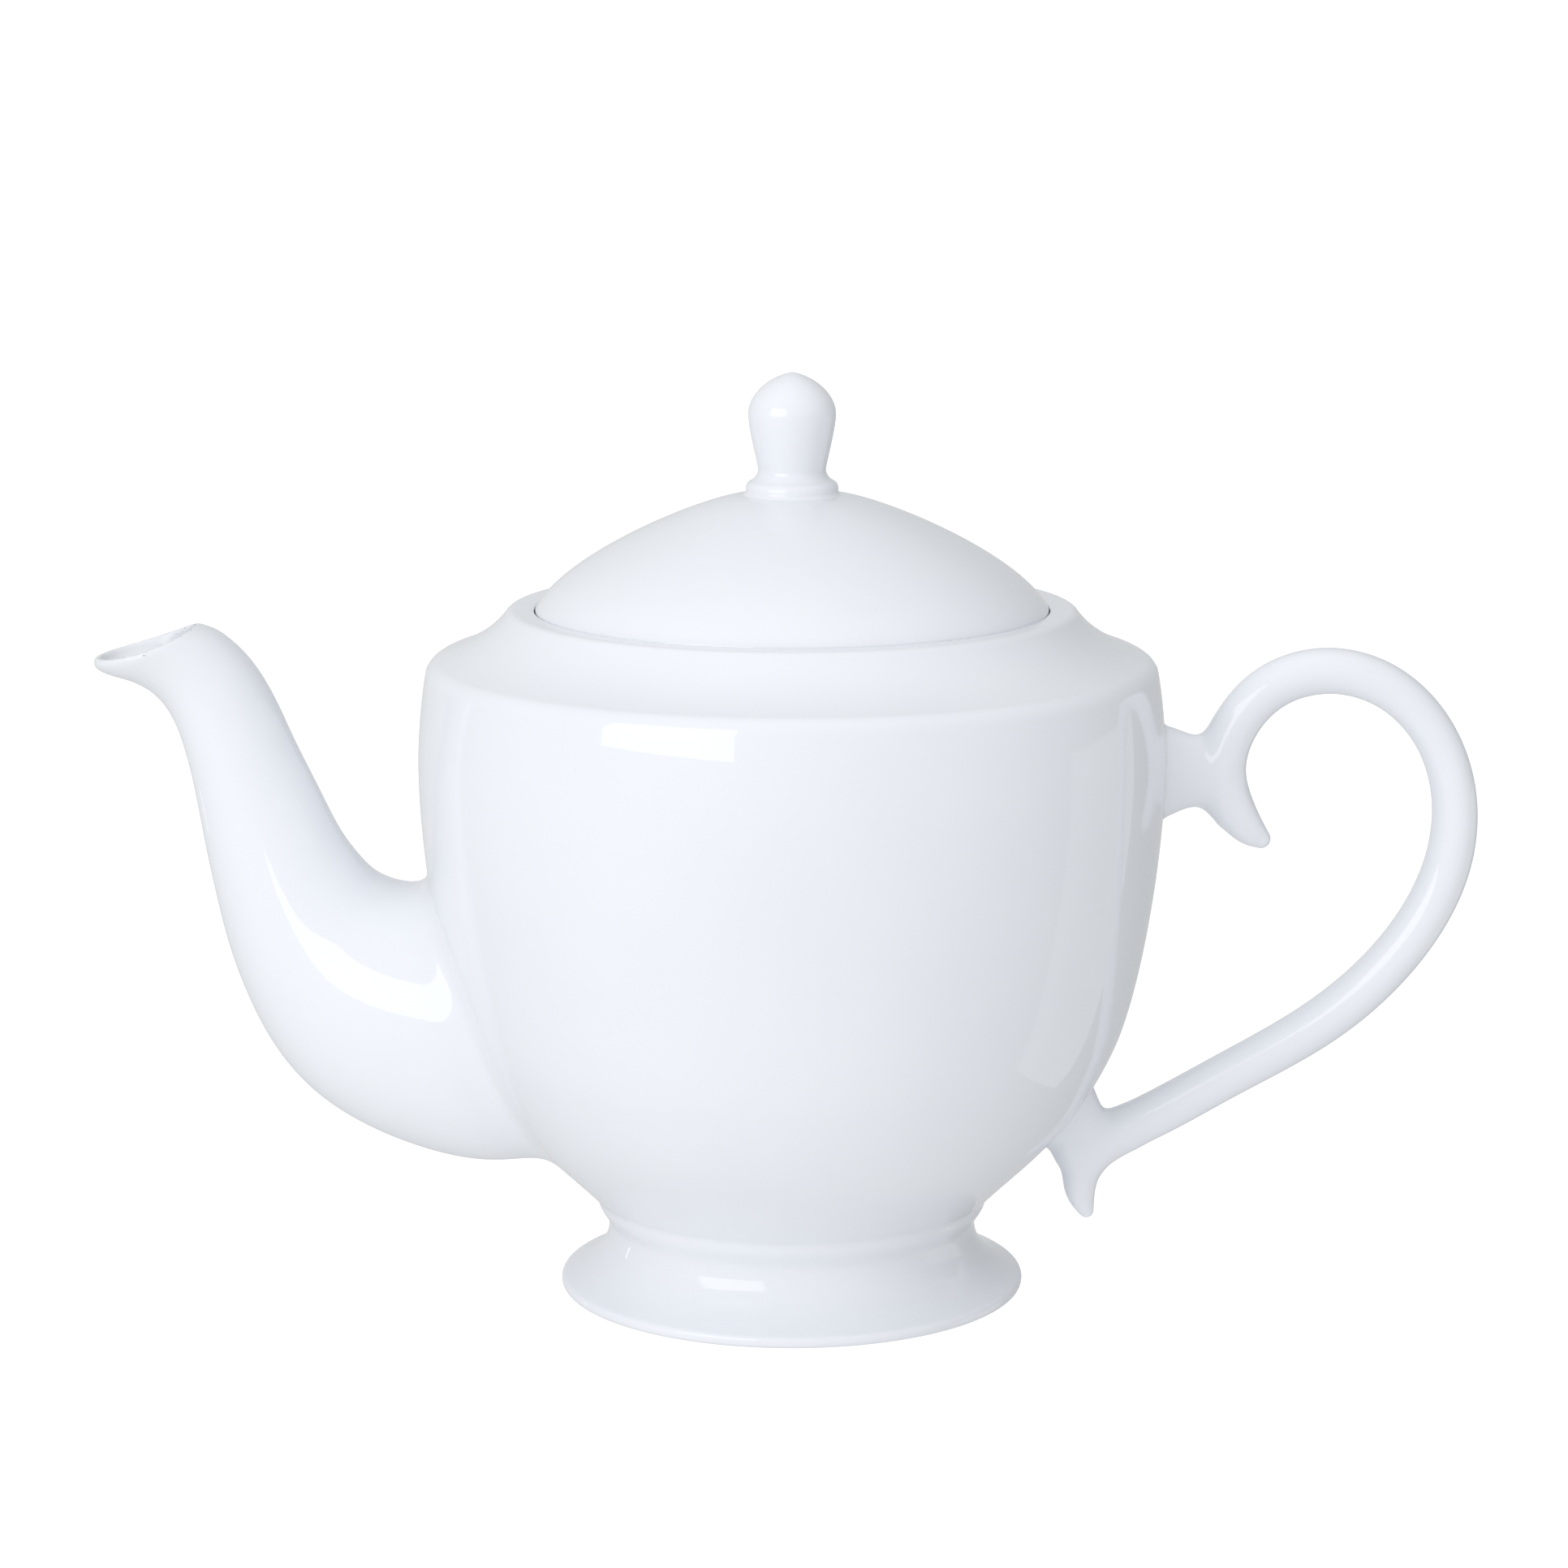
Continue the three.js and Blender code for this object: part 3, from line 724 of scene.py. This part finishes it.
def thin_porcelain():
    """The same china, with light scattered in it where the spout thins to its mouth."""
    material = porcelain("thin_glazed_porcelain")
    tree = material.node_tree
    shader = tree.nodes["Principled BSDF"]
    away = node(tree, "ShaderNodeVectorMath", operation="DISTANCE")
    away.inputs[1].default_value = Vector(MOUTH_MIDDLE) * MM
    tree.links.new(node(tree, "ShaderNodeTexCoord").outputs["Object"], away.inputs[0])
    limits = {"From_Min": GLOW_END * MM, "From_Max": GLOW_FULL * MM, "To_Max": GLOW_WEIGHT}
    glow = remap(tree, away.outputs["Value"], interpolation_type="SMOOTHSTEP", **limits)
    tree.links.new(glow, shader.inputs["Subsurface Weight"])
    shader.inputs["Subsurface Radius"].default_value = (1.0, 1.0, 1.0)
    shader.inputs["Subsurface Scale"].default_value = GLOW_DEPTH
    return material


def bisque():
    """Bare fired clay, where the glaze is wiped off so that the piece can stand in the kiln."""
    material, tree, shader = new_material("unglazed_bisque")
    grain = noise(tree, Scale=1400.0, Detail=3.0)
    tree.links.new(tint(tree, grain, BISQUE_DARK, BISQUE_LIGHT), shader.inputs["Base Color"])
    rough = node(tree, "ShaderNodeBump", Strength=0.4, Distance=0.00008)
    tree.links.new(grain, rough.inputs["Height"])
    tree.links.new(rough.outputs["Normal"], shader.inputs["Normal"])
    shader.inputs["Roughness"].default_value = 0.75
    return material


GLAZE = porcelain("glazed_porcelain")
THIN_GLAZE = thin_porcelain()
BISQUE = bisque()

# ---- Pieces -----------------------------------------------------------------------------------------
# Bands without glaze: (low radius, high radius, low height, high height)
BARE_LEDGE = (MOUTH_RADIUS - 1, 47.2, 121.5, SEAT_HEIGHT + 0.1)
BARE_FOOT = (37.0, 41.6, -0.1, 0.15)
BARE_SEAT = (FLANGE_RADIUS + 0.2, LID_RADIUS - 0.4, 122.7, 123.1)


def wipe(piece, band):
    """Leaves the faces whose middles are in a band unglazed."""
    low_radius, high_radius, low_height, high_height = band
    for face in piece.data.polygons:
        radius = math.hypot(face.center.x, face.center.y) / MM
        height = face.center.z / MM
        if low_radius <= radius <= high_radius and low_height <= height <= high_height:
            face.material_index = 1


def finish_piece(piece, glaze, body, node_name, band=None):
    """Glazes a piece and lets it stand for its CAD node."""
    piece.data.materials.clear()
    piece.data.materials.append(glaze)
    piece.data.materials.append(BISQUE)
    if band:
        wipe(piece, band)
    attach(piece, body)
    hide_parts(node_name)


finish_piece(make_body(), GLAZE, "pot", "pot_body", BARE_LEDGE)
finish_piece(make_foot(), GLAZE, "pot", "pedestal_foot", BARE_FOOT)
finish_piece(make_spout(), THIN_GLAZE, "pot", "spout")
finish_piece(make_handle(), GLAZE, "pot", "handle")
finish_piece(make_lid(), GLAZE, "lid", "lid", BARE_SEAT)
finish_piece(make_knob(), GLAZE, "lid", "lid_knob")
finish_piece(make_lug(), GLAZE, "lid", "lid_lug")

# ---- Stage ------------------------------------------------------------------------------------------
# The pot stands in a round white cove that fills the view. What lights it and shows in its glaze is one
# soft window at the front left, a narrow bright gap at the back left, a broad pale panel at the right
# that stands mostly below the table, and the dimmer room round the cove. A turn is an angle from
# straight in front, positive towards the handle.
COVE = [(0.0, 0.0), (2400.0, 0.0), (3000.0, 600.0), (3000.0, 3000.0)]  # centre, edge, rise and top
PAPER_COLOUR = (0.35, 0.35, 0.35, 1)
PAPER_GLOW = 0.86
# Panels of light, in metres: (name, turn in degrees, distance, width, height, height of the lower edge,
# radiance)
PANELS = [
    ("window", -37.6, 1.2, 0.905, 0.66, 0.173, 1.9),
    ("left_gap", -120.0, 1.2, 0.04, 0.32, -0.26, 1.8),
    ("right_panel", 108.0, 1.2, 0.73, 0.90, -0.85, 0.42),
]
# The room in four tones: each radiance with its lobes of soft light, as (turn, height above the level)
# in degrees. The back right has no lobe at the level, which leaves it the darkest.
ROOM = {
    0.7: [(0, 90), (-45, -45)],
    0.55: [(0, 0), (180, 0), (-45, 45), (45, 45)],
    0.4: [(-45, 0), (45, 0), (-90, 0), (-135, 45), (45, -45), (135, -45), (-135, -45), (0, -90)],
    0.3: [(90, 0), (-135, 0), (135, 45)],
}
ROOM_FOCUS = 4.0  # the power of the cosine that a lobe falls off with
ROOM_COLOUR = (0.960, 0.978, 1.0, 1)

CAMERA_PLACE = (-0.00145, -0.825, 0.2517)  # in metres
CAMERA_DIP = 10.84  # how far the camera looks down, in degrees
CAMERA_LENS, CAMERA_SENSOR = 106.0, 36.0


def make_cove():
    """The white paper behind and under the pot. It is in the view but doesn't show in the glaze."""
    centre, edge, rise, top = COVE
    bend = bezier(12, edge, (rise[0], 0), rise)
    cove = lathe("white_cove", outline(bezier(6, centre, edge), bend, [top]), COVE_SIDES)
    paper, _, shader = new_material("white_paper")
    shader.inputs["Base Color"].default_value = PAPER_COLOUR
    shader.inputs["Roughness"].default_value = 0.9
    shader.inputs["Specular IOR Level"].default_value = 0.0
    shader.inputs["Emission Color"].default_value = (1, 1, 1, 1)
    shader.inputs["Emission Strength"].default_value = PAPER_GLOW
    cove.data.materials.append(paper)
    cove.visible_diffuse = False
    cove.visible_glossy = False


def toward(turn, rise=0.0):
    """The direction at an angle from straight in front and an angle above the level, in degrees."""
    turn, rise = math.radians(turn), math.radians(rise)
    return Vector((math.sin(turn) * math.cos(rise), -math.cos(turn) * math.cos(rise), math.sin(rise)))


def make_panel(name, turn, distance, width, height, bottom, radiance):
    """An upright rectangle of light that faces the pot's axis."""
    light = bpy.data.lights.new(name, "AREA")
    light.shape = "RECTANGLE"
    light.size, light.size_y = width, height
    light.energy = radiance * math.pi * width * height
    panel = bpy.data.objects.new(name, light)
    panel.location = toward(turn) * distance + Vector((0, 0, bottom + height / 2))
    panel.rotation_euler = (-toward(turn)).to_track_quat("-Z", "Y").to_euler()
    bpy.context.scene.collection.objects.link(panel)


def add_lobe(tree, direction, turn, rise, radiance, total):
    """The total so far and one more lobe of light, which is brightest at its own turn and rise."""
    cosine = node(tree, "ShaderNodeVectorMath", operation="DOT_PRODUCT")
    cosine.inputs[1].default_value = toward(turn, rise)
    tree.links.new(direction, cosine.inputs[0])
    front = node(tree, "ShaderNodeMath", operation="MAXIMUM")
    front.inputs[1].default_value = 0.0
    tree.links.new(cosine.outputs["Value"], front.inputs[0])
    lobe = node(tree, "ShaderNodeMath", operation="POWER")
    lobe.inputs[1].default_value = ROOM_FOCUS
    tree.links.new(front.outputs[0], lobe.inputs[0])
    both = node(tree, "ShaderNodeMath", operation="MULTIPLY_ADD")
    both.inputs[1].default_value = radiance
    tree.links.new(lobe.outputs[0], both.inputs[0])
    tree.links.new(total, both.inputs[2])
    return both.outputs[0]


def make_room():
    """The room round the cove: soft lobes of light that fade into each other."""
    world = bpy.data.worlds.new("room")
    world.use_nodes = True
    tree = world.node_tree
    direction = node(tree, "ShaderNodeTexCoord").outputs["Generated"]
    total = node(tree, "ShaderNodeValue").outputs[0]
    total.default_value = 0.0
    for radiance, lobes in ROOM.items():
        for turn, rise in lobes:
            total = add_lobe(tree, direction, turn, rise, radiance, total)
    shader = tree.nodes["Background"]
    tree.links.new(total, shader.inputs["Strength"])
    shader.inputs["Color"].default_value = ROOM_COLOUR
    bpy.context.scene.world = world


def make_camera():
    """The view from the front, from a little above the pot."""
    data = bpy.data.cameras.new("camera")
    data.lens = CAMERA_LENS
    data.sensor_width = CAMERA_SENSOR
    camera = bpy.data.objects.new("camera", data)
    camera.location = CAMERA_PLACE
    camera.rotation_euler = (math.radians(90 - CAMERA_DIP), 0, 0)
    bpy.context.scene.collection.objects.link(camera)
    bpy.context.scene.camera = camera


make_cove()
for panel in PANELS:
    make_panel(*panel)
make_room()
make_camera()
bpy.context.scene.view_settings.view_transform = "Standard"
